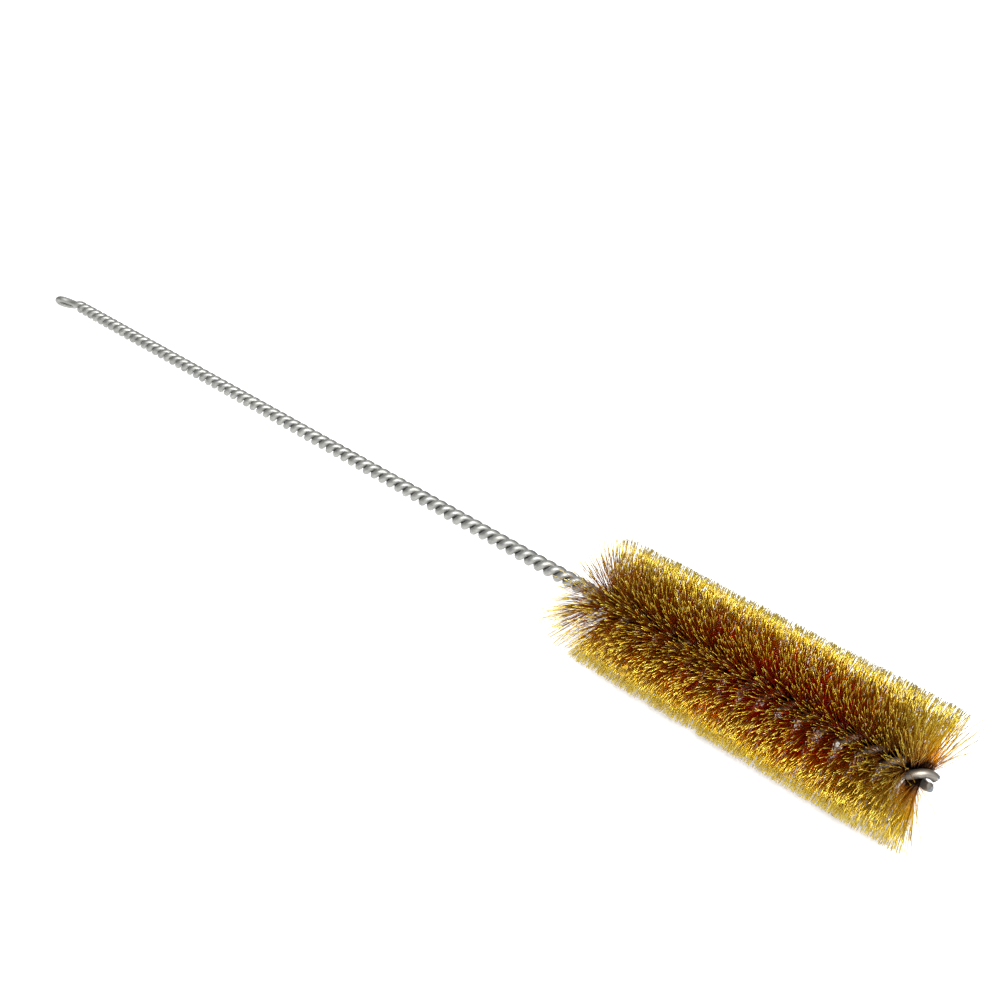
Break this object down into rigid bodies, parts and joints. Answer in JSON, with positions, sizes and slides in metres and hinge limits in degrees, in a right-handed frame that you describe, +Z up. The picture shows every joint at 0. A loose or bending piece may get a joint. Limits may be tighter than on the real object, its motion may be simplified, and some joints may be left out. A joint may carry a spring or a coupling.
{
  "type": "tube brush",
  "caption": "Twisted-wire tube brush: wire folded double into a hanging eye, legs twisted into a long stem that grips a cylindrical fill of fine brass filaments.",
  "frame": {"origin": "under the middle of the overall length, on the surface that the lowest filament ends touch", "axes": "+X along the stem from the hanging eye towards the cut tip, +Z up, +Y to the left of the tip"},
  "size_m": [0.3, 0.03, 0.03],
  "materials": {
    "wire": "satin drawn and galvanised steel wire",
    "brass_filament": "bright drawn brass filament, browner towards the core"
  },
  "bodies": {
    "root": {"hanging_eye": "wire", "wire_leg_a": "wire", "wire_leg_b": "wire", "filaments_row_01": "brass_filament", "filaments_row_02": "brass_filament", "filaments_row_03": "brass_filament", "filaments_row_04": "brass_filament", "filaments_row_05": "brass_filament", "filaments_row_06": "brass_filament", "filaments_row_07": "brass_filament", "filaments_row_08": "brass_filament", "filaments_row_09": "brass_filament", "filaments_row_10": "brass_filament", "filaments_row_11": "brass_filament", "filaments_row_12": "brass_filament", "filaments_row_13": "brass_filament", "filaments_row_14": "brass_filament", "filaments_row_15": "brass_filament", "filaments_row_16": "brass_filament", "filaments_row_17": "brass_filament"}
  },
  "joints": []
}
